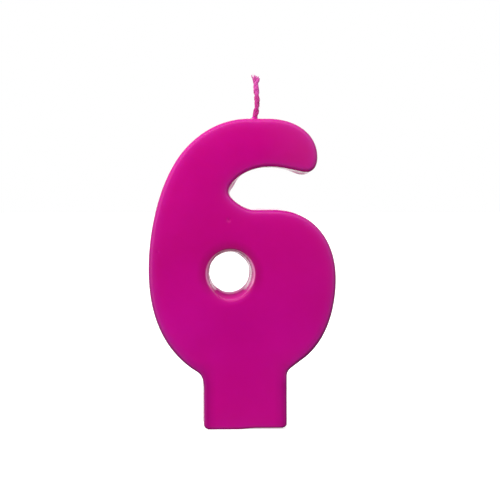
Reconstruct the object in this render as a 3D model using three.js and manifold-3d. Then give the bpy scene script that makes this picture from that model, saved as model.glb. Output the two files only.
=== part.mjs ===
// Number birthday candle: a cast wax numeral 6 on a base tab, with a plaited cotton wick cast into it.
//
// Millimetres, +Z up. The numeral faces -Y and reads upright. The origin is at the bottom of the
// model's box: on the tab's end face, in the middle of the overall width and thickness.
//
// The wax is one casting with a blind channel along the middle of the stroke. The wick lies in that
// channel. It is a flat plait of three cotton strands, and only its last centimetre shows.

import * as THREE from "three";
import { mergeVertices } from "three/addons/utils/BufferGeometryUtils.js";
import Module from "manifold-3d";

// Driving dimensions of the casting
const HEIGHT = 75; // tab's end face to the crest
const HALF_WIDTH = 22.7; // the numeral's widest points, left and right
const THICKNESS = 11; // back face to front face
const ARM_END = 18.2; // right end of the arm
const ARM_UNDER = 61.9; // lowest point of the arm's tip
const NOTCH_TOP = 63.2; // underside of the arm over the notch
const NOTCH_END = -3.2; // left end of the notch
const BOWL_TOP = 53.1; // flat top of the bowl, under the notch
const TAB_LEFT = -9.4;
const TAB_RIGHT = 10.85;
const TAB_CORNER = 1.2; // corner radius of the tab's end

// The eye of the numeral
const EYE_X = -2.9;
const EYE_Z = 37.6;
const EYE_RADIUS = 5; // at its narrowest, near the back

// How the edge of the casting runs from its back face to its front face
const BACK_EDGE = 0.35; // radius of the back edge
const FRONT_EDGE = 0.9; // radius of the front edge
const DRAFT = 0.12; // how far the outer wall leans in towards the front
const FACES_DOWN = -0.99; // a wall whose normal is lower than this faces straight down
const EYE_LIP = 0.45; // radius of the eye's front edge
const EYE_DRAFT = 0.48; // how far the eye opens sideways towards the front
const EYE_DRAFT_UP = 0.38; // how much further it opens at its top
const EYE_DRAFT_DOWN = 0.72; // and at its bottom

// The wick
const WICK_TIP = 85.6; // height of the wick's tip
const WICK_FOOT = 4; // height of its lower end, inside the tab
const EXIT_X = 3.1; // where it leaves the crest
const CHANNEL_RADIUS = 1; // the channel that the wax leaves for it
const CHANNEL_END_GAP = 0.6; // from the wick's lower end to the channel's
const CHANNEL_TOP_SHARE = 0.92; // share of the wick's length at which the channel is out in the air
const STRAND_COUNT = 3;
const STRAND_RADIUS = 0.18;
const PLAIT_HALF_WIDTH = 0.45; // sideways swing of a strand's centre
const PLAIT_HALF_DEPTH = 0.32; // swing of a strand's centre through the plait's thickness
const PLAIT_PERIOD = 6; // length in which a strand swings left, right and back
const PLAIT_TWIST_PITCH = 15; // length in which the whole plait turns once
const TIP_SPLAY = 0.5; // extra spread of the strands at the tip, as a share of their swing
const TIP_SPLAY_LENGTH = 1.5;
const STRAND_STAGGER = 0.3; // each strand is cut this much shorter than the one before

// How finely curves are stepped
const OUTLINE_STEP = 1.4;
const MIN_ARC_STEPS = 5;
const EYE_SEGMENTS = 40;
const EDGE_STEPS = 4;
const CHANNEL_SIDES = 12;
const CHANNEL_STEPS = 44;
const STRAND_SIDES = 6;
const STEPS_PER_PERIOD = 9;
const WELD_DISTANCE = 1e-4; // corners closer than this are one corner

const waxMaterial = new THREE.MeshStandardMaterial({ color: 0xbe0082, roughness: 0.35, metalness: 0 });
const wickMaterial = new THREE.MeshStandardMaterial({ color: 0xcf3f96, roughness: 0.85, metalness: 0 });

const wasm = await Module();
wasm.setup();

// The outer outline seen from the front, x to the right and z up, clockwise from the crest.
function outerOutline() {
  const path = new THREE.Path();
  // Flat crest, then the arm and its round tip
  path.moveTo(1.5, HEIGHT);
  path.lineTo(6, HEIGHT);
  path.bezierCurveTo(13.3, HEIGHT, ARM_END, 71.1, ARM_END, 65.6);
  path.bezierCurveTo(ARM_END, 63.4, 17.2, ARM_UNDER, 15.4, ARM_UNDER);
  // The notch: underside of the arm, round end, and back out along the top of the bowl
  path.bezierCurveTo(13.6, ARM_UNDER, 10.4, NOTCH_TOP, 6.6, NOTCH_TOP);
  path.bezierCurveTo(1.1, NOTCH_TOP, NOTCH_END, 59.7, NOTCH_END, 57.2);
  path.bezierCurveTo(NOTCH_END, 55.8, 0.5, BOWL_TOP, 2.6, BOWL_TOP);
  path.lineTo(7.4, BOWL_TOP);
  // The bowl's right side and the right shoulder of the tab
  path.bezierCurveTo(17, BOWL_TOP, HALF_WIDTH, 46, HALF_WIDTH, 36.2);
  path.bezierCurveTo(HALF_WIDTH, 27.8, 19.8, 20.2, 14.2, 16.5);
  path.lineTo(11.8, 14.7);
  path.bezierCurveTo(11.1, 14.1, TAB_RIGHT, 13.7, TAB_RIGHT, 12.6);
  // The tab, with its two rounded corners
  path.lineTo(TAB_RIGHT, TAB_CORNER);
  path.absarc(TAB_RIGHT - TAB_CORNER, TAB_CORNER, TAB_CORNER, 0, -Math.PI / 2, true);
  path.lineTo(TAB_LEFT + TAB_CORNER, 0);
  path.absarc(TAB_LEFT + TAB_CORNER, TAB_CORNER, TAB_CORNER, -Math.PI / 2, -Math.PI, true);
  // The left shoulder, which is softer than the right one
  path.lineTo(TAB_LEFT, 9.4);
  path.bezierCurveTo(TAB_LEFT, 12, -9.9, 13.2, -11.1, 13.9);
  path.lineTo(-12.2, 14.6);
  // The long outer curve of the stroke, back up to the crest
  path.bezierCurveTo(-17.6, 18.4, -HALF_WIDTH, 25.4, -HALF_WIDTH, 38.6);
  path.bezierCurveTo(-HALF_WIDTH, 48.6, -19.8, 60.4, -14.5, 66.9);
  path.bezierCurveTo(-10.4, 72, -4.6, HEIGHT, 1.5, HEIGHT);
  return path;
}

// Points along a path, one for each step of its length, with the outward normal at each.
function sampleOutline(path) {
  const points = [];
  for (const curve of path.curves) {
    const isLine = curve.isLineCurve === true;
    const steps = Math.ceil(curve.getLength() / OUTLINE_STEP);
    const count = isLine ? steps : Math.max(steps, MIN_ARC_STEPS);
    for (let i = 0; i < count; i++) points.push(curve.getPointAt(i / count));
  }
  const normals = points.map((_, i) => {
    const before = points[(i + points.length - 1) % points.length];
    const after = points[(i + 1) % points.length];
    const along = new THREE.Vector2().subVectors(after, before).normalize();
    return new THREE.Vector2(-along.y, along.x);
  });
  return { points, normals };
}

// The edge's section from the back face to the front face. Each step says how far forward of the
// back face it is, how far the rounding of the outer edge and of the eye's lip stand off the wall
// there, and whether the wall has had its draft by then.
function edgeSection() {
  const section = [];
  const frontStart = THICKNESS - FRONT_EDGE;
  for (let i = 0; i <= EDGE_STEPS; i++) {
    const angle = ((Math.PI / 2) * i) / EDGE_STEPS;
    const inset = BACK_EDGE * (1 - Math.sin(angle));
    section.push({ forward: BACK_EDGE * (1 - Math.cos(angle)), round: inset, lip: inset, drafted: 0 });
  }
  for (let i = 0; i <= EDGE_STEPS; i++) {
    const angle = ((Math.PI / 2) * i) / EDGE_STEPS;
    section.push({
      forward: frontStart + FRONT_EDGE * Math.sin(angle),
      round: FRONT_EDGE * (1 - Math.cos(angle)),
      lip: EYE_LIP * (1 - Math.cos(angle)),
      drafted: 1,
    });
  }
  return section;
}

// How far the eye has opened at its front, at an angle from its right-hand side. It is taller than
// it is wide.
function eyeDraft(angle) {
  const further = Math.sin(angle) > 0 ? EYE_DRAFT_UP : EYE_DRAFT_DOWN;
  return EYE_DRAFT + further * Math.sin(angle) ** 2;
}

// One ring of the casting: the outer outline moved in, and the eye's circle opened out. The end of
// the tab gets no draft, so the candle stands square on it.
function ringAt(outline, step) {
  const outer = outline.points.map((point, i) => {
    const normal = outline.normals[i];
    const onTabEnd = point.y < TAB_CORNER && normal.y < FACES_DOWN;
    const inset = step.round + (onTabEnd ? 0 : DRAFT * step.drafted);
    return new THREE.Vector2(point.x - normal.x * inset, point.y - normal.y * inset);
  });
  const eye = [];
  for (let i = 0; i < EYE_SEGMENTS; i++) {
    const angle = (2 * Math.PI * i) / EYE_SEGMENTS;
    const radius = EYE_RADIUS + step.lip + step.drafted * eyeDraft(angle);
    eye.push(new THREE.Vector2(EYE_X + radius * Math.cos(angle), EYE_Z + radius * Math.sin(angle)));
  }
  return { outer, eye, y: THICKNESS / 2 - step.forward };
}

// The casting before the channel is cut: rings joined by walls, and closed by a flat back and front.
function castingGeometry() {
  const outline = sampleOutline(outerOutline());
  const rings = edgeSection().map((step) => ringAt(outline, step));
  const positions = [];
  const corner = (point, y) => positions.push(point.x, y, point.y);
  const triangle = (a, ya, b, yb, c, yc) => {
    corner(a, ya);
    corner(b, yb);
    corner(c, yc);
  };
  const wall = (loopOf) => {
    for (let k = 0; k + 1 < rings.length; k++) {
      const [back, front] = [rings[k], rings[k + 1]];
      const backLoop = loopOf(back);
      const frontLoop = loopOf(front);
      for (let i = 0; i < backLoop.length; i++) {
        const j = (i + 1) % backLoop.length;
        triangle(backLoop[i], back.y, frontLoop[j], front.y, backLoop[j], back.y);
        triangle(backLoop[i], back.y, frontLoop[i], front.y, frontLoop[j], front.y);
      }
    }
  };
  const cap = (ring, facesBack) => {
    const all = [...ring.outer, ...ring.eye];
    for (const [a, b, c] of THREE.ShapeUtils.triangulateShape(ring.outer, [ring.eye])) {
      const toB = new THREE.Vector2().subVectors(all[b], all[a]);
      const toC = new THREE.Vector2().subVectors(all[c], all[a]);
      const [second, third] = toB.cross(toC) > 0 === facesBack ? [c, b] : [b, c];
      triangle(all[a], ring.y, all[second], ring.y, all[third], ring.y);
    }
  };
  wall((ring) => ring.outer);
  wall((ring) => ring.eye);
  cap(rings[0], true);
  cap(rings.at(-1), false);
  const geometry = new THREE.BufferGeometry();
  geometry.setAttribute("position", new THREE.Float32BufferAttribute(positions, 3));
  return geometry;
}

// The wick's centre line, from its lower end in the tab, up the middle of the stroke and round over
// the top, out at the crest and on to the tip.
function wickRoute() {
  const points = [
    [0.7, WICK_FOOT],
    [0.4, 10],
    [-2.6, 16.4],
    [-8.2, 22.6],
    [-13, 29.6],
    [-15.2, 38],
    [-14.9, 46.4],
    [-12.8, 54.2],
    [-9.2, 61.2],
    [-4.6, 66.2],
    [-0.4, 69],
    [2.2, 71.4],
    [EXIT_X, HEIGHT],
    [3.55, 77.5],
    [3.6, 79.8],
    [3.35, 82.6],
    [3.35, WICK_TIP],
  ].map(([x, z]) => new THREE.Vector3(x, 0, z));
  return new THREE.CatmullRomCurve3(points, false, "centripetal");
}

// The channel follows the wick below the crest and runs out through it, a little way into the air.
class ChannelCurve extends THREE.Curve {
  constructor(route) {
    super();
    this.route = route;
    this.below = CHANNEL_END_GAP / route.getLength();
  }

  getPoint(t, target = new THREE.Vector3()) {
    const along = t * (CHANNEL_TOP_SHARE + this.below) - this.below;
    this.route.getPointAt(Math.max(along, 0), target);
    if (along < 0) target.addScaledVector(this.route.getTangentAt(0), along * this.route.getLength());
    return target;
  }
}

// One strand of the plait: it swings from side to side, and crosses over and under the others.
class StrandCurve extends THREE.Curve {
  constructor(route, index) {
    super();
    this.route = route;
    this.length = route.getLength();
    this.share = 1 - (index * STRAND_STAGGER) / this.length;
    this.phase = (2 * Math.PI * index) / STRAND_COUNT;
  }

  getPoint(t, target = new THREE.Vector3()) {
    const along = t * this.share * this.length;
    this.route.getPointAt(t * this.share, target);
    const tangent = this.route.getTangentAt(t * this.share);
    const side = new THREE.Vector3(tangent.z, 0, -tangent.x);
    const depth = new THREE.Vector3(0, 1, 0);
    const swing = (2 * Math.PI * along) / PLAIT_PERIOD + this.phase;
    const twist = (2 * Math.PI * along) / PLAIT_TWIST_PITCH;
    const fromTip = this.length - along;
    const spread = 1 + TIP_SPLAY * (1 - THREE.MathUtils.smoothstep(fromTip, 0, TIP_SPLAY_LENGTH));
    const across = PLAIT_HALF_WIDTH * Math.sin(swing) * spread;
    const over = PLAIT_HALF_DEPTH * Math.sin(2 * swing) * spread;
    target.addScaledVector(side, across * Math.cos(twist) - over * Math.sin(twist));
    target.addScaledVector(depth, across * Math.sin(twist) + over * Math.cos(twist));
    return target;
  }
}

// A solid tube of round section along a curve, with closed ends.
function tubeGeometry(curve, radius, sides, steps) {
  const section = new THREE.Shape();
  for (let i = 0; i < sides; i++) {
    const angle = (2 * Math.PI * i) / sides;
    const [x, y] = [radius * Math.cos(angle), radius * Math.sin(angle)];
    if (i === 0) section.moveTo(x, y);
    else section.lineTo(x, y);
  }
  section.closePath();
  return new THREE.ExtrudeGeometry(section, { steps, extrudePath: curve, bevelEnabled: false });
}

// A closed geometry as a solid that can be cut.
function solidOf(geometry) {
  const bare = new THREE.BufferGeometry();
  bare.setAttribute("position", geometry.getAttribute("position"));
  const merged = mergeVertices(bare, WELD_DISTANCE);
  return new wasm.Manifold(
    new wasm.Mesh({
      numProp: 3,
      vertProperties: new Float32Array(merged.getAttribute("position").array),
      triVerts: new Uint32Array(merged.index.array),
    }),
  );
}

function geometryOf(solid) {
  const mesh = solid.getMesh();
  const geometry = new THREE.BufferGeometry();
  geometry.setAttribute("position", new THREE.BufferAttribute(mesh.vertProperties, mesh.numProp));
  geometry.setIndex(new THREE.BufferAttribute(mesh.triVerts, 1));
  geometry.computeVertexNormals();
  return geometry;
}

function waxBody(route) {
  const channel = tubeGeometry(new ChannelCurve(route), CHANNEL_RADIUS, CHANNEL_SIDES, CHANNEL_STEPS);
  const cut = solidOf(castingGeometry()).subtract(solidOf(channel));
  const mesh = new THREE.Mesh(geometryOf(cut), waxMaterial);
  mesh.name = "wax_body";
  return mesh;
}

function wickStrand(route, index) {
  const curve = new StrandCurve(route, index);
  const steps = Math.round((curve.length / PLAIT_PERIOD) * STEPS_PER_PERIOD);
  const mesh = new THREE.Mesh(tubeGeometry(curve, STRAND_RADIUS, STRAND_SIDES, steps), wickMaterial);
  mesh.name = `wick_strand_${index + 1}`;
  return mesh;
}

function wick(route) {
  const group = new THREE.Group();
  for (let index = 0; index < STRAND_COUNT; index++) group.add(wickStrand(route, index));
  return group;
}

const route = wickRoute();
const candle = new THREE.Group();
candle.add(waxBody(route), wick(route));

export default candle;
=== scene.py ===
"""Number birthday candle: the cast wax numeral and its plaited wick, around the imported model.

Blender works in metres, +Z up, and the numeral faces -Y. The casting and the wick are drawn in
millimetres, and each mesh is scaled to metres when it is made. The stage is in metres.
"""

import functools
import math
import random

import bmesh
import bpy
import numpy as np
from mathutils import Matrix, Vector, geometry, noise


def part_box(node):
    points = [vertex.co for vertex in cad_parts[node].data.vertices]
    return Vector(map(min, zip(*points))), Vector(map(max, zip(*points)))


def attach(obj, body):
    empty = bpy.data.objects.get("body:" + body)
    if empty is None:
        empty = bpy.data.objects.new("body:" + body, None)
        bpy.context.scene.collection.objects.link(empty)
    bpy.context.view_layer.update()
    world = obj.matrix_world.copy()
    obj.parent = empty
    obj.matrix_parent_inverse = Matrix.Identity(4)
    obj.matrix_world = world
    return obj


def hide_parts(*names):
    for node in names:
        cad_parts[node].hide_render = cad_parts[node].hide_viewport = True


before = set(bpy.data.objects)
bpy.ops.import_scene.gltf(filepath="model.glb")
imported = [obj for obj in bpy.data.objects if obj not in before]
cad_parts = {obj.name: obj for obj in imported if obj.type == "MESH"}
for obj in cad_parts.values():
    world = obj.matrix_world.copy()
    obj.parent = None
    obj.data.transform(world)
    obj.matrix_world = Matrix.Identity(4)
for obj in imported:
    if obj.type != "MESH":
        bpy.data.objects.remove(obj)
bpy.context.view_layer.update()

MM = 0.001  # metres in a millimetre
SEED = 6

# The casting, in millimetres
HALF_WIDTH, HALF_THICKNESS, HEIGHT = np.array(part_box("wax_body")[1]) / MM
TAB_LEFT = -9.4
TAB_RIGHT = 10.85
TAB_CORNER = 1.2
QUARTER_CIRCLE = 0.5523  # the Bezier handles of a quarter circle of radius 1
EYE = np.array([-2.9, 37.6])
EYE_RADIUS = 5.0
EYE_LIP = 0.45
EYE_DRAFT = 0.48
EYE_DRAFT_TALLER = 0.55
EYE_DRAFT_LOWER = 0.17
DRAFT = 0.12
BACK_ROUND = 0.4
FRONT_ROUND = 1.0
TAB_FRONT_ROUND = 0.75
FRONT_ROUND_Z = (12, 19)  # between which the tab's rounding turns into the numeral's
CROWN = 0.35
CROWN_REACH = 9.0
SHOULDER = 0.2
SHOULDER_REACH = 2.8
SHOULDER_Z = (10, 18)  # between which the shoulder sets in above the tab
EYE_DIP = 0.25
EYE_DIP_REACH = 3.0
BACK_SINK = 0.22
BACK_SINK_EDGE = (0.3, 5.5)  # distances from its edges between which the back sinks

# How far apart the casting's points are, in millimetres, and how much closer at the wick
OUTLINE_SPACING = 0.36
OUTLINE_CLOSER = 0.24
CORNER_SPACING = 0.16
WALL_SPACING = 0.5
WALL_CLOSER = 0.34
FACE_SPACING = 0.75
NEAR_WICK_X = 2.2
NEAR_WICK_Y = 1.7
EYE_POINTS = 180
EYE_WALL_RINGS = 46
BACK_ROUND_ANGLES = np.radians([0, 22, 45, 68])
FRONT_ROUND_ANGLES = np.radians([12, 24, 36, 48, 60, 72, 81, 90])

# Small casting faults on the front: x, z, radius and depth of each dent
BLEMISHES = [
    (-3.3, 50.5, 0.65, 0.12),
    (15.6, 49.6, 0.6, 0.08),
    (-20.3, 43.0, 0.5, 0.05),
    (6.4, 8.9, 0.5, 0.03),
]
DENT_RINGS = 6
DENT_TURNS = 14

# Spare wax left on the back edge: x, z, reach and how far it stands out
FLASHES = [
    (-2.6, 59.0, 2.4, 0.8),
    (14.4, 62.2, 2.3, 0.5),
]
FLASH_DEPTH = (-0.5, 5.0)  # y where it starts and where it stands out the most

# Raised lines round the eye's wall: y, half width and height
EYE_BACK_LIP = (4.6, 0.45, 0.16)
EYE_FRONT_RIDGE = (-3.3, 0.25, 0.2)
EYE_INNER_RIDGE = (-1.2, 0.3, 0.12)

# Waves in the casting: height, length and place in the noise
FACE_WAVES = [(0.05, 11, 0), (0.02, 4, 40)]
WALL_WAVES = [(0.05, 7, 80), (0.02, 2.5, 120)]
CASTING_MIDDLE = np.array([0.0, 38.0])
FACE_FROM_MIDDLE = (2.5, 5.2)  # y between which the waves pass from the walls to a face

# Wax drawn up the wick, and the tab's end cut out of square, in millimetres
COLLAR_HEIGHT = 0.5
COLLAR_RADIUS = 0.5
COLLAR_REACH = 0.35
COLLAR_LEFTWARDS = 0.15
CUT_LIFT = 0.3
CUT_SLOPE = (-1.5, 3.5)
CUT_FADE = 2.5

# The wick, in millimetres
WICK_EXIT = (3.1, 0.0)
WICK_FOOT = 4.0
WICK_TIP = 85.6
WICK_STEP = 0.22
STRANDS = 3
PLAIT_HALF_WIDTH = 0.28
PLAIT_HALF_DEPTH = 0.2
PLAIT_PERIOD = 6.0
PLAIT_TWIST_PITCH = 15.0
TIP_SPLAY = 0.72
SPLAY_LENGTH = 3.2
STRAND_RADIUS = 0.45
YARNS = 6
YARN_RADIUS = 0.18
YARN_PITCH = 3.4
YARN_SIDES = 7
YARN_SWELL = 0.12
YARN_SWELL_RATE = 5.1
YARN_SWELL_SHIFT = 2.1
YARN_TAPER = 0.45
YARN_TAPER_LENGTH = 0.5
FIBRES = 26
FIBRE_ROOT = 0.12
FIBRE_POINTS = 7
FIBRE_RADII = (0.022, 0.010)
FIBRE_SIDES = 4

# Where the wax changes its look: pairs of places, in millimetres, between which it does so
FRONT_ROUND_Y = (-5.5, -3.5)
OFF_EYE = (6, 7.5)
# Where shade is painted round the front edge's low rounding
RIM_Z = (22, 62)
RIM_OFF_TAB_Z = (8, 14)
FLASH_Y = (0, 2.5)
BACK_FACE_Y = (5.0, 5.35)
EYE_WALL = (6.3, 6.9)
EYE_WALL_Y = (-5.2, -4.7)
EYE_BACK_Y = (2, 4.5)
EYE_LOW_Z = (33.4, 38.5)
# Where shade is painted round the eye
EYE_HALO = (6.0, 8.2)
EYE_HALO_Y = (-5.0, -4.6)
EYE_HALO_Z = (31, 36)
# Where the highlight on the eye's front lip is painted
EYE_PALE_LINE = (5.5, 6.3)
EYE_PALE_LINE_Y = (-4.8, -4.4)
EYE_PALE_LINE_Z = (33, 35.5)
# Where the painted sheen at the end of the arm lies
ARM_SHEEN_X = (4, 18)
ARM_SHEEN_Z = (52, 60)
# Where shade is painted down the tab's sides
TAB_SIDE_WIDTH = 3.2
TAB_TOP_Z = (11, 17)
COLLAR_TOP = 0.3

# Colours of the wax and the wick. A tint multiplies the colour under it.
DYE = [
    (0.30, (0.575, 0.0005, 0.262)),
    (0.52, (0.600, 0.0006, 0.285)),
    (0.72, (0.625, 0.0008, 0.308)),
]
HEIGHT_TINT = [
    (0.0, (0.98, 1.0, 0.88)),
    (0.33, (0.95, 1.0, 0.95)),
    (0.58, (0.92, 1.0, 0.79)),
    (1.0, (1.03, 1.0, 0.87)),
]
# Painted light: a pale glow, as of light through thin wax, on the front edge's rounding and the collar
THIN_WAX_GLOW_COLOUR = (0.70, 0.004, 0.46)
# Painted shade on the eye's wall: darker and greyer than the face
EYE_WALL_SHADE = (0.54, 0.020, 0.25)
# Painted glints: pale light on the eye's thin back lip
EYE_BACK_GLINT_COLOUR = (0.92, 0.42, 0.68)
# Painted shade on the face beside the eye
EYE_HALO_SHADE = (0.76, 1.0, 0.66)
# Painted highlight along the eye's front lip
EYE_LIP_HIGHLIGHT = (0.90, 0.32, 0.62)
# Painted sheen at the end of the arm, and the most of it there is
ARM_SHEEN_COLOUR = (0.75, 0.5, 0.65)
ARM_SHEEN_MOST = 0.022
# Painted glow of light through the thin spare wax
FLASH_GLOW_COLOUR = (0.95, 0.20, 0.62)
# How much of that painted glow the collar takes
COLLAR_GLOW_SHARE = 0.8
SATIN = (0.225, 0.265)  # roughness
WICK_COLOURS = [
    (0.0, (0.580, 0.018, 0.300)),
    (0.40, (0.640, 0.038, 0.310)),
    (0.65, (0.800, 0.090, 0.480)),
    (1.0, (0.820, 0.130, 0.520)),
]
FIBRE_TINT = [
    (0.32, (0.74, 0.62, 0.72)),
    (0.6, (1.0, 1.0, 1.0)),
]

# The stage, in metres
FLOOR_REACH = 3.0
KEY_PLACE = (-0.20, -0.23, 0.35)
KEY_TARGET = (0, 0, 0.05)
KEY_SIZE = (0.62, 0.27)
KEY_POWER = 1.72
CAMERA_DISTANCE = 0.42
CAMERA_AZIMUTH = math.radians(-2.3)
CAMERA_ELEVATION = math.radians(2.2)
CAMERA_AIM = (2.0 * MM, 0, 43.15 * MM)
CAMERA_FRAME = 121.5 * MM
CAMERA_SENSOR = 36  # millimetres, as Blender's lenses have it

# The tent's brightness from straight in front of the candle, 0, to straight behind it, 1
TENT = [
    (0.0, 0.0),
    (0.015, 0.08),
    (0.03, 0.22),
    (0.067, 0.45),
    (0.12, 0.82),
    (0.2, 1.05),
    (0.3, 1.0),
    (0.45, 0.5),
    (0.6, 0.35),
    (0.8, 0.6),
    (0.93, 1.4),
    (1.0, 2.0),
]
TENT_BRIGHT_SIDE = (-0.3, 0.0, 0.95)
TENT_STRENGTH = (0.15, 1.6)  # on the side away from the bright one, and on the bright one


def smoothstep(low, high, value):
    share = np.clip((value - low) / (high - low), 0, 1)
    return share * share * (3 - 2 * share)


# --------------------------------------------------------------------------- outline


def outline_pieces():
    """The numeral's outer edge, clockwise from the crest: lines of two points, Beziers of four."""
    top, right, left = HEIGHT, HALF_WIDTH, -HALF_WIDTH
    bend = TAB_CORNER * (1 - QUARTER_CIRCLE)
    return [
        # flat crest, arm and its round tip
        [(1.5, top), (6, top)],
        [(6, top), (13.3, top), (18.2, 71.1), (18.2, 65.6)],
        [(18.2, 65.6), (18.2, 63.4), (17.2, 61.9), (15.4, 61.9)],
        # the notch: underside of the arm, round end, top of the bowl
        [(15.4, 61.9), (13.6, 61.9), (10.4, 63.2), (6.6, 63.2)],
        [(6.6, 63.2), (1.1, 63.2), (-3.2, 59.7), (-3.2, 57.2)],
        [(-3.2, 57.2), (-3.2, 55.8), (0.5, 53.1), (2.6, 53.1)],
        [(2.6, 53.1), (7.4, 53.1)],
        # right side of the bowl and right shoulder
        [(7.4, 53.1), (17, 53.1), (right, 46), (right, 36.2)],
        [(right, 36.2), (right, 27.8), (19.8, 20.2), (14.2, 16.5)],
        [(14.2, 16.5), (11.8, 14.7)],
        [(11.8, 14.7), (11.1, 14.1), (TAB_RIGHT, 13.7), (TAB_RIGHT, 12.6)],
        # tab
        [(TAB_RIGHT, 12.6), (TAB_RIGHT, TAB_CORNER)],
        [(TAB_RIGHT, TAB_CORNER), (TAB_RIGHT, bend), (TAB_RIGHT - bend, 0), (TAB_RIGHT - TAB_CORNER, 0)],
        [(TAB_RIGHT - TAB_CORNER, 0), (TAB_LEFT + TAB_CORNER, 0)],
        [(TAB_LEFT + TAB_CORNER, 0), (TAB_LEFT + bend, 0), (TAB_LEFT, bend), (TAB_LEFT, TAB_CORNER)],
        [(TAB_LEFT, TAB_CORNER), (TAB_LEFT, 9.4)],
        # left shoulder and the long outer curve of the stroke
        [(TAB_LEFT, 9.4), (TAB_LEFT, 12), (-9.9, 13.2), (-11.1, 13.9)],
        [(-11.1, 13.9), (-12.2, 14.6)],
        [(-12.2, 14.6), (-17.6, 18.4), (left, 25.4), (left, 38.6)],
        [(left, 38.6), (left, 48.6), (-19.8, 60.4), (-14.5, 66.9)],
        [(-14.5, 66.9), (-10.4, 72), (-4.6, top), (1.5, top)],
    ]


def along_piece(piece, share):
    """Points on a line or a Bezier at the shares 0 to 1."""
    control = np.array(piece, dtype=float)
    rest = 1 - share
    if len(control) == 2:
        weights = np.stack([rest, share], axis=1)
    else:
        weights = np.stack([rest**3, 3 * rest**2 * share, 3 * rest * share**2, share**3], axis=1)
    return weights @ control


def outline_spacing(points):
    """The distance between neighbours on the outline: fine at the wick and at the tab's corners."""
    x, z = points.T
    at_wick = np.exp(-(((x - WICK_EXIT[0]) / NEAR_WICK_X) ** 4)) * (z > HEIGHT - 2)
    beside_side = (x < TAB_LEFT + 2) | (x > TAB_RIGHT - 2)
    at_corner = (z < TAB_CORNER + 0.2) & beside_side
    return np.where(at_corner, CORNER_SPACING, OUTLINE_SPACING - OUTLINE_CLOSER * at_wick)


def sampled_outline():
    """The outline's points and outward normals."""
    share = np.linspace(0, 1, 400, endpoint=False)
    dense = np.concatenate([along_piece(piece, share) for piece in outline_pieces()])
    closed = np.vstack([dense, dense[:1]])
    lengths = np.linalg.norm(np.diff(closed, axis=0), axis=1)
    steps = np.concatenate([[0], np.cumsum(lengths / outline_spacing(dense))])
    count = int(round(steps[-1]))
    wanted = np.linspace(0, steps[-1], count, endpoint=False)
    points = np.stack([np.interp(wanted, steps, closed[:, axis]) for axis in (0, 1)], axis=1)
    along = np.roll(points, -1, axis=0) - np.roll(points, 1, axis=0)
    along /= np.linalg.norm(along, axis=1, keepdims=True)
    return points, np.stack([-along[:, 1], along[:, 0]], axis=1)


def distance_to(loop, points):
    """Each point's distance to a closed loop of points."""
    spans = np.roll(loop, -1, axis=0) - loop
    best = np.full(len(points), np.inf)
    for start, span in zip(loop, spans):
        share = np.clip(((points - start) @ span) / (span @ span), 0, 1)
        gap = np.linalg.norm(points - (start + share[:, None] * span), axis=1)
        best = np.minimum(best, gap)
    return best


def soft_distance_to(loop, points):
    """About each point's distance to a loop, but smooth where two sides of it are as near.

    Each bit of the loop adds its length over the fourth power of its distance. Beside one straight
    edge the sum is (pi / 2) / distance cubed, so this turns the sum back into a distance."""
    total = np.zeros(len(points))
    lengths = np.linalg.norm(np.roll(loop, -1, axis=0) - np.roll(loop, 1, axis=0), axis=1) / 2
    for place, length in zip(loop, lengths):
        total += length / ((points - place) ** 2).sum(axis=1) ** 2
    return (math.pi / 2 / total) ** (1 / 3)


# --------------------------------------------------------------------------- wax casting


def front_round(points):
    """The front edge's radius: rounder on the numeral than on its tab."""
    above_tab = smoothstep(*FRONT_ROUND_Z, points[:, 1])
    return TAB_FRONT_ROUND + (FRONT_ROUND - TAB_FRONT_ROUND) * above_tab


def fall(depth, reach, distance):
    """A surface that falls by a depth towards an edge, steepest at the edge itself."""
    return depth * (1 - np.clip(distance / reach, 0, 1)) ** 2


def outer_crown(distance, height):
    """How far the crowned front face lies behind its highest level, that far in from its outline.
    The tab has no soft shoulder."""
    shoulder = SHOULDER * smoothstep(*SHOULDER_Z, height)
    return fall(CROWN, CROWN_REACH, distance) + fall(shoulder, SHOULDER_REACH, distance)


def eye_dip(distance, turn):
    """How far the front face has sunk, that far from the eye: furthest out on its upper left."""
    upper_left = 0.75 * math.pi
    return fall(EYE_DIP, EYE_DIP_REACH * (1 + 0.6 * np.cos(turn - upper_left)), distance)


def eye_draft(turn):
    """How far the eye opens from back to front: it is taller than wide, the most at its bottom."""
    upwards = np.sin(turn)
    return EYE_DRAFT + (EYE_DRAFT_TALLER - EYE_DRAFT_LOWER * upwards) * upwards**2


def section(rounding, draft, drop, shares, lean=1.0):
    """Rings from back to front: for each, the inset of every outline point and its y. The drop is
    the front face's, at a distance from the edge. The shares say how far along the wall its own
    rings are, and a lean under 1 opens the wall sooner."""
    rings = []
    level = np.ones_like(rounding)
    back_y = HALF_THICKNESS - BACK_ROUND
    front_y = -(HALF_THICKNESS - rounding - drop(0.0))
    for angle in BACK_ROUND_ANGLES:
        inset = BACK_ROUND * (1 - np.sin(angle))
        rings.append((inset * level, (back_y + BACK_ROUND * np.cos(angle)) * level))
    for share in shares:
        rings.append((draft * share**lean * level, back_y + (front_y - back_y) * share))
    for angle in FRONT_ROUND_ANGLES:
        inset = rounding * (1 - np.cos(angle))
        rise = rounding * np.sin(angle) + drop(0.0) - drop(inset)
        rings.append((draft + inset, front_y - rise))
    return rings


def wall_shares():
    """Shares of the way from back to front where the wall has a ring: closer together at the wick."""
    share = np.linspace(0, 1, 500)
    y = HALF_THICKNESS * (1 - 2 * share)
    density = 1 / (WALL_SPACING - WALL_CLOSER * np.exp(-((y / NEAR_WICK_Y) ** 4)))
    steps = np.concatenate([[0], np.cumsum((density[1:] + density[:-1]) / 2 * np.diff(share))])
    count = int(round(steps[-1] * 2 * HALF_THICKNESS))
    return np.interp(np.linspace(0, steps[-1], count), steps, share)


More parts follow.
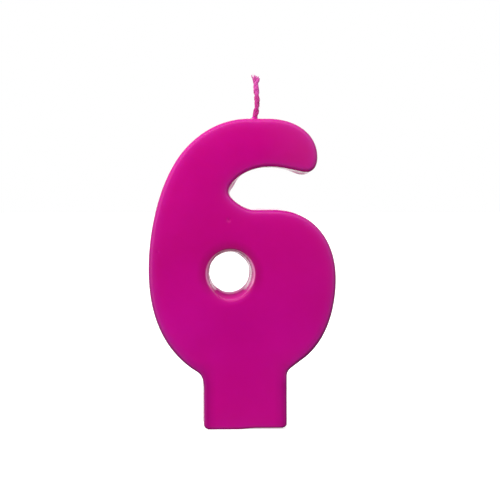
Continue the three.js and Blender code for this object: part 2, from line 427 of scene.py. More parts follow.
def inner_points(outer_loop, eye_loop, spacing):
    """A staggered grid of points inside the face, clear of its two edges, and closer at each dent."""
    low, high = outer_loop.min(axis=0), outer_loop.max(axis=0)
    grid = []
    row_height = spacing * math.sqrt(3) / 2
    for row in range(int((high[1] - low[1]) / row_height) + 1):
        shift = spacing / 2 * (row % 2)
        for column in range(int((high[0] - low[0]) / spacing) + 1):
            grid.append((low[0] + shift + column * spacing, low[1] + row * row_height))
    for x, z, radius, _ in BLEMISHES:
        for ring in range(1, DENT_RINGS + 1):
            for turn in range(DENT_TURNS):
                angle = 2 * math.pi * (turn + 0.5 * (ring % 2)) / DENT_TURNS
                reach = radius * ring / 4
                grid.append((x + reach * math.cos(angle), z + reach * math.sin(angle)))
    grid = np.array(grid)
    inside = points_inside(outer_loop, grid) & ~points_inside(eye_loop, grid)
    grid = grid[inside]
    clear = np.minimum(distance_to(outer_loop, grid), distance_to(eye_loop, grid)) > spacing * 0.45
    return grid[clear]


def points_inside(loop, points):
    """Which points a closed loop holds, by counting crossings."""
    inside = np.zeros(len(points), dtype=bool)
    ends = np.roll(loop, -1, axis=0)
    for (x0, z0), (x1, z1) in zip(loop, ends):
        if z0 == z1:
            continue
        spans = (points[:, 1] > min(z0, z1)) & (points[:, 1] <= max(z0, z1))
        crossing = x0 + (points[:, 1] - z0) / (z1 - z0) * (x1 - x0)
        inside ^= spans & (points[:, 0] < crossing)
    return inside


def blemish_depth(x, z):
    depth = np.zeros_like(x)
    for centre_x, centre_z, radius, deep in BLEMISHES:
        reach = ((x - centre_x) ** 2 + (z - centre_z) ** 2) / radius**2
        depth += deep * np.exp(-2 * reach)
    return depth


def ripple(points, size, offset):
    """Smooth noise of about -1 to 1 at each point, with features of a size in millimetres."""
    return np.array([noise.noise(Vector(point) / size + Vector((offset, 0, 0))) for point in points])


def waves(points, layers):
    """Layers of smooth noise added up: each has a height, a size and a place in the noise."""
    return sum(height * ripple(points, size, offset) for height, size, offset in layers)


def face_triangles(outer_loop, eye_loop, grid):
    """Triangles between a face's two edges and its grid, as indices into all its points."""
    everything = np.vstack([outer_loop, eye_loop, grid])
    outer_count, eye_count = len(outer_loop), len(eye_loop)
    edges = [(i, (i + 1) % outer_count) for i in range(outer_count)]
    edges += [(outer_count + i, outer_count + (i + 1) % eye_count) for i in range(eye_count)]
    touching = 1e-7
    result = geometry.delaunay_2d_cdt([Vector(point) for point in everything], edges, [], 0, touching)
    verts, _, faces, origins = result[:4]
    if len(verts) != len(everything):
        raise ValueError("the face's triangulation moved its points")
    index = [origin[0] for origin in origins]
    triangles = np.array([[index[corner] for corner in face] for face in faces])
    middles = everything[triangles].mean(axis=1)
    kept = points_inside(outer_loop, middles) & ~points_inside(eye_loop, middles)
    return triangles[kept]


def outer_wall(outline, normals):
    """Rings of points on the outer wall and its rounded edges, from back to front."""
    on_tab_end = (outline[:, 1] < 0.01) & (normals[:, 1] < -0.99)
    drop = functools.partial(outer_crown, height=outline[:, 1])
    rings = []
    for inset, y in section(front_round(outline), DRAFT, drop, wall_shares()):
        square = inset - DRAFT * smoothstep(HALF_THICKNESS, -HALF_THICKNESS, y)
        drafted = np.where(on_tab_end, square, inset)
        place = outline - normals * (drafted - flash(outline, y))[:, None]
        rings.append(np.stack([place[:, 0], y, place[:, 1]], axis=1))
    return rings


def eye_wall_rings():
    """Rings of points on the eye's wall and its rounded edges, from back to front."""
    turns = np.linspace(0, 2 * math.pi, EYE_POINTS, endpoint=False)
    outward = np.stack([np.cos(turns), np.sin(turns)], axis=1)
    drop = functools.partial(eye_dip, turn=turns)
    lips = np.full(EYE_POINTS, EYE_LIP)
    shares = np.linspace(0, 1, EYE_WALL_RINGS)
    rings = []
    for inset, y in section(lips, eye_draft(turns), drop, shares, lean=0.95):
        place = EYE + outward * (EYE_RADIUS + inset + eye_unevenness(turns, y))[:, None]
        rings.append(np.stack([place[:, 0], y, place[:, 1]], axis=1))
    return rings


def wax_mesh():
    """The casting as one closed mesh: walls with their rounded edges, back face, front face."""
    outline, normals = sampled_outline()
    outer_rings = outer_wall(outline, normals)
    eye_rings = eye_wall_rings()
    verts, faces = [], []

    def add(points):
        start = sum(len(block) for block in verts)
        verts.append(points)
        return start

    def strips(rings):
        starts = [add(ring) for ring in rings]
        count = len(rings[0])
        for near, far in zip(starts, starts[1:]):
            for i in range(count):
                j = (i + 1) % count
                faces.append((near + i, near + j, far + j, far + i))
        return starts

    outer_starts = strips(outer_rings)
    eye_starts = strips(eye_rings)
    for end, y_at in ((0, back_level), (-1, front_level)):
        outer_loop = outer_rings[end][:, [0, 2]]
        eye_loop = eye_rings[end][:, [0, 2]]
        grid = inner_points(outer_loop, eye_loop, FACE_SPACING)
        triangles = face_triangles(outer_loop, eye_loop, grid)
        from_outline = soft_distance_to(outline - normals * DRAFT, grid)
        turn = np.arctan2(grid[:, 1] - EYE[1], grid[:, 0] - EYE[0])
        from_eye = np.linalg.norm(grid - EYE, axis=1) - EYE_RADIUS - eye_draft(turn)
        level = y_at(from_outline, grid[:, 1], from_eye, turn)
        grid_start = add(np.stack([grid[:, 0], level, grid[:, 1]], axis=1))
        lookup = np.concatenate([
            outer_starts[end] + np.arange(len(outer_loop)),
            eye_starts[end] + np.arange(len(eye_loop)),
            grid_start + np.arange(len(grid)),
        ])
        faces.extend(tuple(triangle) for triangle in lookup[triangles])
    return weathered(np.vstack(verts)), faces


def flash(points, y):
    """How far spare wax stands out from the wall near the back, in the two places it was left."""
    out = np.zeros(len(points))
    for x, z, reach, most in FLASHES:
        out += most * np.exp(-((points - (x, z)) ** 2).sum(axis=1) / reach**2)
    return out * smoothstep(*FLASH_DEPTH, y)


def raised(line, y):
    """How high a raised line on the eye's wall stands at y."""
    middle, half_width, height = line
    return height * np.exp(-(((y - middle) / half_width) ** 2))


def eye_unevenness(turns, y):
    """How far the eye's wall stands back: a ragged lip of wax at the back and two ridges in front
    of it stand out, and streaks run along it."""
    along_wall = np.stack([3 * np.cos(turns), 0.3 * y, 3 * np.sin(turns)], axis=1)
    ragged = ripple(along_wall, size=0.9, offset=200)
    lip = raised(EYE_BACK_LIP, y) * (1 + ragged)
    front_ridge = raised(EYE_FRONT_RIDGE, y + 0.3 * ragged)
    inner_ridge = raised(EYE_INNER_RIDGE, y - 0.4 * ragged)
    streaks = 0.04 * ragged * smoothstep(-4.4, -3.8, y)
    return streaks - lip - front_ridge - inner_ridge


def front_level(from_outline, height, from_eye, turn):
    return -(HALF_THICKNESS - outer_crown(from_outline, height) - eye_dip(from_eye, turn))


def back_level(from_outline, height, from_eye, turn):
    """The back, poured open, has sunk a little in the middle as the wax cooled."""
    sunk = smoothstep(*BACK_SINK_EDGE, from_outline) * smoothstep(*BACK_SINK_EDGE, from_eye)
    return HALF_THICKNESS - BACK_SINK * sunk


def weathered(points):
    """Small unevenness of a real casting: slow waves, dents, the collar at the wick, the cut end."""
    points = points.copy()
    x, y, z = points.T
    facing = smoothstep(*FACE_FROM_MIDDLE, np.abs(y)) * np.sign(y)
    points[:, 1] += facing * waves(points, FACE_WAVES)
    points[:, 1] += blemish_depth(x, z) * (y < -3)
    sideways = (1 - np.abs(facing)) * waves(points, WALL_WAVES)
    outward = points[:, [0, 2]] - CASTING_MIDDLE
    outward /= np.linalg.norm(outward, axis=1, keepdims=True) + 1e-9
    away_from_end = smoothstep(0, 3, z)
    points[:, 0] += outward[:, 0] * sideways
    points[:, 2] += outward[:, 1] * sideways * away_from_end
    # wax drawn up the wick
    from_wick = np.hypot(x - WICK_EXIT[0] + COLLAR_LEFTWARDS, y - WICK_EXIT[1])
    collar = COLLAR_HEIGHT * np.exp(-np.clip(from_wick - COLLAR_RADIUS, 0, None) / COLLAR_REACH)
    points[:, 2] += collar * smoothstep(HEIGHT - 1.5, HEIGHT - 0.4, z)
    # the tab's end, cut a little out of square
    lift = CUT_LIFT * smoothstep(*CUT_SLOPE, x)
    points[:, 2] += lift * np.clip(1 - z / CUT_FADE, 0, 1)
    return points


# --------------------------------------------------------------------------- wick


def wick_route():
    """Points on the wick's centre line from its foot in the tab to its tip, as the casting holds it."""
    return np.array([
        (0.7, WICK_FOOT),
        (0.4, 10),
        (-2.6, 16.4),
        (-8.2, 22.6),
        (-13, 29.6),
        (-15.2, 38),
        (-14.9, 46.4),
        (-12.8, 54.2),
        (-9.2, 61.2),
        (-4.6, 66.2),
        (-0.4, 69),
        (2.2, 71.4),
        (WICK_EXIT[0], HEIGHT),
        (3.6, 77.5),
        (3.7, 79.8),
        (3.45, 82.6),
        (3.4, WICK_TIP),
    ])


def smooth_route(points, step):
    """A centripetal Catmull-Rom curve through the points, at even steps of its length."""
    before = 2 * points[0] - points[1]
    after = 2 * points[-1] - points[-2]
    padded = np.vstack([before, points, after])
    dense = []
    for p0, p1, p2, p3 in zip(padded, padded[1:], padded[2:], padded[3:]):
        t1 = np.linalg.norm(p1 - p0) ** 0.5
        t2 = t1 + np.linalg.norm(p2 - p1) ** 0.5
        t3 = t2 + np.linalg.norm(p3 - p2) ** 0.5
        t = np.linspace(t1, t2, 60, endpoint=False)[:, None]
        a1 = (t1 - t) / t1 * p0 + t / t1 * p1
        a2 = (t2 - t) / (t2 - t1) * p1 + (t - t1) / (t2 - t1) * p2
        a3 = (t3 - t) / (t3 - t2) * p2 + (t - t2) / (t3 - t2) * p3
        b1 = (t2 - t) / t2 * a1 + t / t2 * a2
        b2 = (t3 - t) / (t3 - t1) * a2 + (t - t1) / (t3 - t1) * a3
        dense.append((t2 - t) / (t2 - t1) * b1 + (t - t1) / (t2 - t1) * b2)
    dense = np.vstack(dense + [points[-1:]])
    run = np.concatenate([[0], np.cumsum(np.linalg.norm(np.diff(dense, axis=0), axis=1))])
    wanted = np.linspace(0, run[-1], int(run[-1] / step) + 1)
    return np.stack([np.interp(wanted, run, dense[:, axis]) for axis in (0, 1)], axis=1), wanted


def strand_line(index, step):
    """One strand's centre line through the plait, and the run along the wick at each point."""
    route, run = smooth_route(wick_route(), step)
    tangent = np.gradient(route, axis=0)
    tangent /= np.linalg.norm(tangent, axis=1, keepdims=True)
    side = np.stack([tangent[:, 1], 0 * run, -tangent[:, 0]], axis=1)
    depth = np.array([0.0, 1.0, 0.0])
    swing = 2 * math.pi * (run / PLAIT_PERIOD + index / STRANDS)
    twist = 2 * math.pi * run / PLAIT_TWIST_PITCH
    splay = 1 - smoothstep(0, SPLAY_LENGTH, run[-1] - run)
    across = PLAIT_HALF_WIDTH * np.sin(swing) * (1 - splay)
    over = PLAIT_HALF_DEPTH * np.sin(2 * swing)
    fanned = TIP_SPLAY * (index - 1) * splay
    line = np.stack([route[:, 0], 0 * run, route[:, 1]], axis=1)
    line += side * (across * np.cos(twist) - over * np.sin(twist) + fanned)[:, None]
    line += depth * (across * np.sin(twist) + over * np.cos(twist))[:, None]
    return line, run


def turning_frames(line):
    """Two normals of a line, carried along it without twisting."""
    tangents = np.gradient(line, axis=0)
    tangents /= np.linalg.norm(tangents, axis=1, keepdims=True)
    normal = np.cross(tangents[0], (0.0, 1.0, 0.0))
    normals = []
    for tangent in tangents:
        normal = normal - tangent * (normal @ tangent)
        normal /= np.linalg.norm(normal)
        normals.append(normal)
    normals = np.array(normals)
    return normals, np.cross(tangents, normals)


def tube(line, radii, sides):
    """A closed tube along a line, as points and faces."""
    normals, others = turning_frames(line)
    turns = 2 * math.pi * np.arange(sides) / sides
    points = []
    for centre, normal, other, radius in zip(line, normals, others, radii):
        around = np.cos(turns)[:, None] * normal + np.sin(turns)[:, None] * other
        points.append(centre + radius * around)
    faces = []
    for ring in range(len(line) - 1):
        near, far = ring * sides, (ring + 1) * sides
        for i in range(sides):
            j = (i + 1) % sides
            faces.append((near + i, near + j, far + j, far + i))
    faces.append(tuple(reversed(range(sides))))
    last = (len(line) - 1) * sides
    faces.append(tuple(last + i for i in range(sides)))
    return np.vstack(points), faces


def joined(blocks):
    """Several blocks of points and faces as one."""
    points, faces, start = [], [], 0
    for block_points, block_faces in blocks:
        points.append(block_points)
        faces.extend(tuple(corner + start for corner in face) for face in block_faces)
        start += len(block_points)
    return np.vstack(points), faces


def strand_mesh(index, rng):
    """A strand of twisted yarns, which part at the tip, with loose fibres standing off it."""
    line, run = strand_line(index, WICK_STEP)
    line, run = line[: len(line) - index], run[: len(run) - index]
    normals, others = turning_frames(line)
    from_tip = run[-1] - run
    blocks = []
    for yarn in range(YARNS):
        phase = 2 * math.pi * (yarn / YARNS + run / YARN_PITCH) + index
        parting = rng.uniform(0.0, 0.8)
        parting_length = rng.uniform(0.7, 1.5)
        opening = 1 + parting * (1 - smoothstep(0, parting_length, from_tip))
        reach = (STRAND_RADIUS - YARN_RADIUS) * opening
        path = line + (reach * np.cos(phase))[:, None] * normals + (reach * np.sin(phase))[:, None] * others
        cut = rng.randint(0, 3)
        path = path[: len(path) - cut]
        to_end = from_tip[: len(path)] - from_tip[len(path) - 1]
        swell = np.sin(run[: len(path)] * YARN_SWELL_RATE + yarn * YARN_SWELL_SHIFT)
        radii = YARN_RADIUS * (1 + YARN_SWELL * swell)
        radii *= 1 - YARN_TAPER * (1 - smoothstep(0, YARN_TAPER_LENGTH, to_end))
        blocks.append(tube(path, radii, YARN_SIDES))
    blocks.extend(loose_fibres(line, rng))
    return joined(blocks)


def loose_fibres(line, rng):
    """Short hairs that stand off the part of a strand above the wax."""
    free = np.flatnonzero(line[:, 2] > HEIGHT + 0.8)
    share = np.linspace(0, 1, FIBRE_POINTS)[:, None]
    upward = np.array([0, 0, 1])
    for _ in range(FIBRES):
        at = int(rng.choice(free))
        turn = rng.uniform(0, 2 * math.pi)
        outward = np.array([math.cos(turn), math.sin(turn), 0])
        length = rng.uniform(0.35, 0.95)
        lean = rng.uniform(-0.2, 1.1)
        curl = np.array([-outward[1], outward[0], 0]) * rng.uniform(-0.5, 0.5)
        path = line[at] + outward * (FIBRE_ROOT + length * share * (1 - 0.35 * share))
        path = path + upward * lean * length * share + curl * length * share**2
        yield tube(path, np.linspace(*FIBRE_RADII, FIBRE_POINTS), FIBRE_SIDES)


# --------------------------------------------------------------------------- objects


def make_object(name, points, faces, material):
    mesh = bpy.data.meshes.new(name)
    mesh.from_pydata([tuple(point) for point in np.asarray(points) * MM], [], faces)
    tidy = bmesh.new()
    tidy.from_mesh(mesh)
    bmesh.ops.recalc_face_normals(tidy, faces=tidy.faces)
    tidy.to_mesh(mesh)
    tidy.free()
    mesh.polygons.foreach_set("use_smooth", [True] * len(mesh.polygons))
    mesh.materials.append(material)
    made = bpy.data.objects.new(name, mesh)
    bpy.context.scene.collection.objects.link(made)
    return made


# --------------------------------------------------------------------------- materials


def new_material(name):
    material = bpy.data.materials.new(name)
    material.use_nodes = True
    tree = material.node_tree
    return material, tree, tree.nodes["Principled BSDF"]


def object_coordinates(tree):
    return tree.nodes.new("ShaderNodeTexCoord").outputs["Object"]


def separated(tree, vector):
    """A node whose outputs are the X, Y and Z of a vector."""
    made = tree.nodes.new("ShaderNodeSeparateXYZ")
    tree.links.new(vector, made.inputs["Vector"])
    return made


def noise_node(tree, coordinates, scale, detail=4.0, roughness=0.5):
    made = tree.nodes.new("ShaderNodeTexNoise")
    made.inputs["Scale"].default_value = scale
    made.inputs["Detail"].default_value = detail
    made.inputs["Roughness"].default_value = roughness
    tree.links.new(coordinates, made.inputs["Vector"])
    return made.outputs["Fac"]


def ramp_node(tree, value, stops):
    """A colour for each value, from stops of a value and a colour."""
    made = tree.nodes.new("ShaderNodeValToRGB")
    ramp = made.color_ramp
    ramp.elements[0].position, ramp.elements[0].color = stops[0][0], (*stops[0][1], 1)
    ramp.elements[1].position, ramp.elements[1].color = stops[-1][0], (*stops[-1][1], 1)
    for position, colour in stops[1:-1]:
        ramp.elements.new(position).color = (*colour, 1)
    tree.links.new(value, made.inputs["Fac"])
    return made.outputs["Color"]


def grey_ramp(tree, value, stops):
    """A grey for each value, from stops of a value and a level."""
    return ramp_node(tree, value, [(position, (level, level, level)) for position, level in stops])


def spread(tree, value, low, high, to_low, to_high):
    """A number turned from the range low to high into the range to_low to to_high, and kept in it."""
    made = tree.nodes.new("ShaderNodeMapRange")
    for name, number in (("From Min", low), ("From Max", high), ("To Min", to_low), ("To Max", to_high)):
        made.inputs[name].default_value = number
    tree.links.new(value, made.inputs["Value"])
    return made.outputs["Result"]


def rising(tree, value, places):
    """0 up to the first of two places, in millimetres, and 1 from the second."""
    return spread(tree, value, places[0] * MM, places[1] * MM, 0, 1)


def falling(tree, value, places):
    """1 up to the first of two places, in millimetres, and 0 from the second."""
    return spread(tree, value, places[0] * MM, places[1] * MM, 1, 0)


def combined(tree, operation, first, second):
    """Two numbers put together by a mathematical operation."""
    made = tree.nodes.new("ShaderNodeMath")
    made.operation = operation
    tree.links.new(first, made.inputs[0])
    tree.links.new(second, made.inputs[1])
    return made.outputs["Value"]


def product(tree, *numbers):
    """Numbers multiplied."""
    return functools.reduce(functools.partial(combined, tree, "MULTIPLY"), numbers)


def multiplied(tree, first, second):
    """Two colours multiplied."""
    made = tree.nodes.new("ShaderNodeMix")
    made.data_type = "RGBA"
    made.blend_type = "MULTIPLY"
    made.inputs["Factor"].default_value = 1.0
    tree.links.new(first, made.inputs[6])
    tree.links.new(second, made.inputs[7])
    return made.outputs[2]


def blended(tree, amount, first, second):
    """A colour turned by an amount towards a second, fixed colour."""
    made = tree.nodes.new("ShaderNodeMix")
    made.data_type = "RGBA"
    tree.links.new(amount, made.inputs["Factor"])
    tree.links.new(first, made.inputs[6])
    made.inputs[7].default_value = (*second, 1)
    return made.outputs[2]


def bump_node(tree, height, distance, strength, under=None):
    made = tree.nodes.new("ShaderNodeBump")
    made.inputs["Distance"].default_value = distance
    made.inputs["Strength"].default_value = strength
    tree.links.new(height, made.inputs["Height"])
    if under is not None:
        tree.links.new(under, made.inputs["Normal"])
    return made.outputs["Normal"]


def wax_material():
    """Dyed paraffin that light soaks into, with a satin gloss that is slightly uneven."""
    material, tree, shader = new_material("wax")
    place = object_coordinates(tree)
    split = separated(tree, place)
    tree.links.new(wax_colour(tree, place, split), shader.inputs["Base Color"])
    tree.links.new(wax_gloss(tree, split), shader.inputs["Specular IOR Level"])
    smears = noise_node(tree, place, 60, detail=1)
    tree.links.new(spread(tree, smears, 0.2, 0.8, *SATIN), shader.inputs["Roughness"])
    skin = bump_node(tree, noise_node(tree, place, 300, detail=2), 0.00004, 0.25)
    grain = bump_node(tree, noise_node(tree, place, 2600, detail=2), 0.00001, 0.3, under=skin)
    tree.links.new(grain, shader.inputs["Normal"])
    shader.inputs["IOR"].default_value = 1.44
    shader.inputs["Subsurface Weight"].default_value = 0.35
    shader.inputs["Subsurface Radius"].default_value = (1.0, 0.12, 0.45)
    shader.inputs["Subsurface Scale"].default_value = 0.0016
    return material


def wax_colour(tree, place, split):
    """Deep magenta, a little redder towards the crest. Light is painted into it: a pale glow, as of light
    through thin wax, round its front edge, on the collar and on the flash; pale glints on the eye's back
    lip, a highlight on its front lip and a trace of sheen at the end of the arm. Shade is painted into it
    on the eye's wall, beside the eye, down the sides of the tab and round its low edges."""
    cloudy = noise_node(tree, place, 55, detail=3)
    height = spread(tree, split.outputs["Z"], 0, HEIGHT * MM, 0, 1)
    dyed = multiplied(tree, ramp_node(tree, cloudy, DYE), ramp_node(tree, height, HEIGHT_TINT))
    # Painted glow of light through thin wax round the front edge
    edge_glowed = blended(tree, front_edge_glow(tree, split), dyed, THIN_WAX_GLOW_COLOUR)
    # Painted shade inside the eye
    eye_shaded = blended(tree, eye_wall(tree, split), edge_glowed, EYE_WALL_SHADE)
    # Painted glints on the eye's back lip
    back_glinted = blended(tree, eye_back_lip_glints(tree, split), eye_shaded, EYE_BACK_GLINT_COLOUR)
    # The collar at the wick takes the same painted glow
    collar = spread(tree, split.outputs["Z"], HEIGHT * MM, (HEIGHT + COLLAR_TOP) * MM, 0, COLLAR_GLOW_SHARE)
    collar_glowed = blended(tree, collar, back_glinted, THIN_WAX_GLOW_COLOUR)
    # A trace of painted sheen at the end of the arm
    arm_sheened = blended(tree, arm_sheen(tree, split), collar_glowed, ARM_SHEEN_COLOUR)
    # Painted glow through the thin spare wax
    flash_glowed = blended(tree, flash_wax(tree, split), arm_sheened, FLASH_GLOW_COLOUR)
    # Painted shade round the eye, except below it
    halo_shade = ramp_node(tree, eye_halo_shade(tree, split), [(0.0, (1.0, 1.0, 1.0)), (1.0, EYE_HALO_SHADE)])
    # Painted highlight on the eye's front lip, over the painted shade round it
    lip_highlighted = blended(tree, eye_lip_highlight(tree, split), multiplied(tree, flash_glowed, halo_shade), EYE_LIP_HIGHLIGHT)
    # Painted shade down both sides of the tab
    tab_shade = grey_ramp(tree, tab_sides(tree, split), [(0.0, 1.0), (0.4, 0.90), (1.0, 0.55)])
    # Painted shade round the low edges of the front
    rim_shade = grey_ramp(tree, low_rim(tree, split), [(0.0, 1.0), (0.5, 0.82), (1.0, 0.58)])
    return multiplied(tree, multiplied(tree, lip_highlighted, tab_shade), rim_shade)


def wax_gloss(tree, split):
    """How strongly the wax reflects: less down the sides of the tab and on the flash, and not at
    all low on the wall of the eye."""
    beside_tab = spread(tree, tab_sides(tree, split), 0.5, 1, 0.5, 0.05)
    eye_low = product(tree, eye_wall(tree, split), falling(tree, split.outputs["Z"], EYE_LOW_Z))
    in_eye = spread(tree, eye_low, 0, 1, 1, 0)
    on_flash = spread(tree, flash_wax(tree, split), 0, 1, 1, 0.1)
    return product(tree, beside_tab, in_eye, on_flash)


def front_edge_glow(tree, split):
    """How much painted glow the rounding of the front edge has, as light through the thin wax would give
    it: none on the face, on the walls and beside the eye."""
    depth = rising(tree, split.outputs["Y"], FRONT_ROUND_Y)
    rounding = grey_ramp(tree, depth, [(0.10, 0.0), (0.28, 0.40), (0.45, 0.2), (0.62, 0.0)])
    return product(tree, rounding, away_from_eye(tree, split))


def low_rim(tree, split):
    """1 on the rounding of the front edge low on the numeral, where shade is painted, less higher up and on
    the tab, and 0 on the face and on the walls."""
    depth = rising(tree, split.outputs["Y"], FRONT_ROUND_Y)
    rounding = grey_ramp(tree, depth, [(0.10, 0.0), (0.35, 1.0), (0.72, 1.0), (1.0, 0.0)])
    low_down = spread(tree, split.outputs["Z"], RIM_Z[0] * MM, RIM_Z[1] * MM, 1, 0.25)
    above_tab = spread(tree, split.outputs["Z"], RIM_OFF_TAB_Z[0] * MM, RIM_OFF_TAB_Z[1] * MM, 0.1, 1)
    return product(tree, rounding, away_from_eye(tree, split), low_down, above_tab)


def away_from_eye(tree, split):
    return rising(tree, distance_from(tree, split, *EYE), OFF_EYE)


def before_back(tree, split):
    """1 on everything in front of the back face, and 0 on the back face itself."""
    return falling(tree, split.outputs["Y"], BACK_FACE_Y)


def flash_wax(tree, split):
    """1 on the spare wax at the back edge, where a pale glow of light through the thin wax is painted, and
    0 elsewhere.
    """
    pieces = []
    for x, z, reach, _ in FLASHES:
        places = (0.7 * reach, 1.5 * reach)
        pieces.append(falling(tree, distance_from(tree, split, x, z), places))
    either = functools.reduce(functools.partial(combined, tree, "MAXIMUM"), pieces)
    return product(tree, either, rising(tree, split.outputs["Y"], FLASH_Y), before_back(tree, split))


def eye_wall(tree, split):
    """1 on the wall of the eye, where shade is painted into the colour, and 0 elsewhere."""
    within = falling(tree, distance_from(tree, split, *EYE), EYE_WALL)
    return product(tree, within, rising(tree, split.outputs["Y"], EYE_WALL_Y))


def eye_back_lip_glints(tree, split):
    """1 on the thin back lip of the eye, where pale glints are painted, and 0 elsewhere."""
    towards_back = rising(tree, split.outputs["Y"], EYE_BACK_Y)
    return product(tree, eye_wall(tree, split), towards_back, before_back(tree, split))


def eye_halo_shade(tree, split):
    """1 on the face right beside the eye, where the wax has sunk and shade is painted, and 0 away from it
    and below it.
    """
    beside = falling(tree, distance_from(tree, split, *EYE), EYE_HALO)
    above = rising(tree, split.outputs["Z"], EYE_HALO_Z)
    return product(tree, beside, above, falling(tree, split.outputs["Y"], EYE_HALO_Y))


def eye_lip_highlight(tree, split):
    """How strong the painted highlight on the front lip of the eye is: none at its bottom."""
    from_middle = rising(tree, distance_from(tree, split, *EYE), EYE_PALE_LINE)
    line = grey_ramp(tree, from_middle, [(0.0, 0.0), (0.2, 0.85), (0.45, 0.6), (0.7, 0.0)])
    in_front = falling(tree, split.outputs["Y"], EYE_PALE_LINE_Y)
    return product(tree, line, in_front, rising(tree, split.outputs["Z"], EYE_PALE_LINE_Z))


def distance_from(tree, split, x, z):
    """Each place's distance, in metres, from the line that runs from back to front at x and z, which
    are in millimetres."""
    flat = tree.nodes.new("ShaderNodeCombineXYZ")
    tree.links.new(split.outputs["X"], flat.inputs["X"])
    tree.links.new(split.outputs["Z"], flat.inputs["Z"])
    measured = tree.nodes.new("ShaderNodeVectorMath")
    measured.operation = "DISTANCE"
    tree.links.new(flat.outputs["Vector"], measured.inputs[0])
    measured.inputs[1].default_value = (x * MM, 0, z * MM)
    return measured.outputs["Value"]


def arm_sheen(tree, split):
    """How much painted sheen there is: a trace at the end of the arm, and none elsewhere."""
    rightwards = spread(tree, split.outputs["X"], ARM_SHEEN_X[0] * MM, ARM_SHEEN_X[1] * MM, 0, ARM_SHEEN_MOST)
    return product(tree, rightwards, rising(tree, split.outputs["Z"], ARM_SHEEN_Z))


def tab_sides(tree, split):
    """1 down both sides of the tab, where the wax is duller and shade is painted into its colour, and 0
    away from them.
    """
    from_middle = tree.nodes.new("ShaderNodeMath")
    from_middle.operation = "SUBTRACT"
    tree.links.new(split.outputs["X"], from_middle.inputs[0])
    from_middle.inputs[1].default_value = (TAB_LEFT + TAB_RIGHT) / 2 * MM
    sideways = tree.nodes.new("ShaderNodeMath")
    sideways.operation = "ABSOLUTE"
    tree.links.new(from_middle.outputs["Value"], sideways.inputs[0])
    half_width = (TAB_RIGHT - TAB_LEFT) / 2
    near_side = rising(tree, sideways.outputs["Value"], (half_width - TAB_SIDE_WIDTH, half_width))
    return product(tree, near_side, falling(tree, split.outputs["Z"], TAB_TOP_Z))


def wick_material():
    """Cotton yarn soaked with pink wax: deep at the wax, paler and drier towards the tip."""
    material, tree, shader = new_material("wick")
    place = object_coordinates(tree)
    split = separated(tree, place)
    height = rising(tree, split.outputs["Z"], (HEIGHT + 0.5, WICK_TIP))
    fibres = noise_node(tree, place, 5200, detail=4, roughness=0.65)
    shade = multiplied(tree, ramp_node(tree, height, WICK_COLOURS), ramp_node(tree, fibres, FIBRE_TINT))
    tree.links.new(shade, shader.inputs["Base Color"])
    tree.links.new(spread(tree, fibres, 0.3, 0.7, 0.5, 0.8), shader.inputs["Roughness"])
    tree.links.new(bump_node(tree, fibres, 0.00003, 0.6), shader.inputs["Normal"])
    shader.inputs["Sheen Weight"].default_value = 0.25
    shader.inputs["Subsurface Weight"].default_value = 0.2
    shader.inputs["Subsurface Radius"].default_value = (1.0, 0.3, 0.6)
    shader.inputs["Subsurface Scale"].default_value = 0.0003
    return material


def floor_material():
    """Matte white, with a glow of its own that hides where it ends against the white behind it."""
    material, tree, shader = new_material("floor")
    mottled = noise_node(tree, object_coordinates(tree), 3, detail=2)
    colour = grey_ramp(tree, mottled, [(0.3, 0.90), (0.7, 0.93)])
    tree.links.new(colour, shader.inputs["Base Color"])
    shader.inputs["Roughness"].default_value = 0.9
    shader.inputs["Specular IOR Level"].default_value = 0.1
    shader.inputs["Emission Color"].default_value = (1, 1, 1, 1)
    shader.inputs["Emission Strength"].default_value = 0.6
    return material


# --------------------------------------------------------------------------- stage


def add_floor():
    """A wide floor that the camera sees, and that throws no light back on the candle."""
    mesh = bpy.data.meshes.new("floor")
    corners = [(-1, -1), (1, -1), (1, 1), (-1, 1)]
    mesh.from_pydata([(x * FLOOR_REACH, y * FLOOR_REACH, 0) for x, y in corners], [], [(0, 1, 2, 3)])
    mesh.materials.append(floor_material())
    floor = bpy.data.objects.new("floor", mesh)
    floor.visible_glossy = False
    floor.visible_diffuse = False
    bpy.context.scene.collection.objects.link(floor)


def add_key_light():
    """A soft light from above, the front and the left, which isn't mirrored in the wax."""
    lamp = bpy.data.lights.new("key", "AREA")
    lamp.shape = "RECTANGLE"
    lamp.size, lamp.size_y = KEY_SIZE
    lamp.energy = KEY_POWER
    light = bpy.data.objects.new("key", lamp)
    light.location = KEY_PLACE
    light.rotation_euler = (Vector(KEY_TARGET) - Vector(KEY_PLACE)).to_track_quat("-Z", "Y").to_euler()
    light.visible_glossy = False
    bpy.context.scene.collection.objects.link(light)


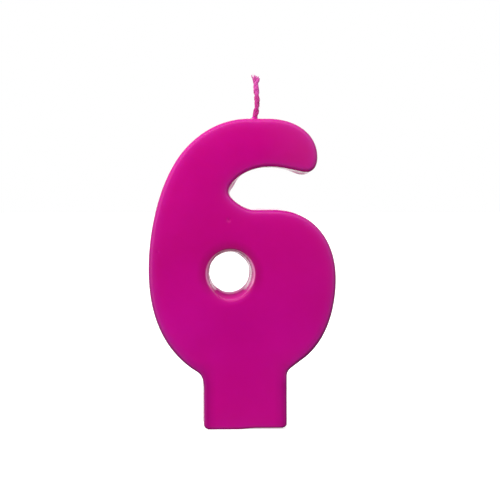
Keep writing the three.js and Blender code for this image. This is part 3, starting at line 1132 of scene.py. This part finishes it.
def tent_light(tree):
    """A white tent, brighter above and on the left, with a dark opening in front of the candle for
    the camera."""
    direction = tree.nodes.new("ShaderNodeTexCoord").outputs["Generated"]
    split = separated(tree, direction)
    behind = spread(tree, split.outputs["Y"], -1, 1, 0, 1)
    towards = tree.nodes.new("ShaderNodeVectorMath")
    towards.operation = "DOT_PRODUCT"
    towards.inputs[1].default_value = Vector(TENT_BRIGHT_SIDE).normalized()
    tree.links.new(direction, towards.inputs[0])
    tent = tree.nodes.new("ShaderNodeBackground")
    tree.links.new(grey_ramp(tree, behind, TENT), tent.inputs["Color"])
    tree.links.new(spread(tree, towards.outputs["Value"], -1, 1, *TENT_STRENGTH), tent.inputs["Strength"])
    return tent


def add_world():
    """Plain white to the camera, and a tent as a light."""
    world = bpy.data.worlds.new("studio")
    bpy.context.scene.world = world
    world.use_nodes = True
    tree = world.node_tree
    tree.nodes.clear()
    tent = tent_light(tree)
    white = tree.nodes.new("ShaderNodeBackground")
    white.inputs["Color"].default_value = (1, 1, 1, 1)
    seen = tree.nodes.new("ShaderNodeLightPath")
    mix = tree.nodes.new("ShaderNodeMixShader")
    tree.links.new(seen.outputs["Is Camera Ray"], mix.inputs["Fac"])
    tree.links.new(tent.outputs["Background"], mix.inputs[1])
    tree.links.new(white.outputs["Background"], mix.inputs[2])
    output = tree.nodes.new("ShaderNodeOutputWorld")
    tree.links.new(mix.outputs["Shader"], output.inputs["Surface"])


def add_camera():
    """From a little left of and above the front, framed on the candle's middle."""
    level = math.cos(CAMERA_ELEVATION)
    sideways = math.sin(CAMERA_AZIMUTH) * level
    forwards = -math.cos(CAMERA_AZIMUTH) * level
    away = Vector((sideways, forwards, math.sin(CAMERA_ELEVATION)))
    lens = bpy.data.cameras.new("camera")
    lens.sensor_width = CAMERA_SENSOR
    lens.lens = CAMERA_SENSOR * CAMERA_DISTANCE / CAMERA_FRAME
    lens.clip_start = 0.01
    camera = bpy.data.objects.new("camera", lens)
    camera.location = Vector(CAMERA_AIM) + away * CAMERA_DISTANCE
    camera.rotation_euler = (-away).to_track_quat("-Z", "Y").to_euler()
    bpy.context.scene.collection.objects.link(camera)
    bpy.context.scene.camera = camera


# --------------------------------------------------------------------------- the candle


def build():
    rng = random.Random(SEED)
    wax = wax_material()
    cotton = wick_material()
    body = make_object("wax_numeral", *wax_mesh(), wax)
    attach(body, "root")
    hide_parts("wax_body")
    for index in range(STRANDS):
        strand = make_object(f"wick_yarns_{index + 1}", *strand_mesh(index, rng), cotton)
        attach(strand, "root")
        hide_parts(f"wick_strand_{index + 1}")


build()
add_floor()
add_world()
add_key_light()
add_camera()
bpy.context.scene.view_settings.view_transform = "Standard"
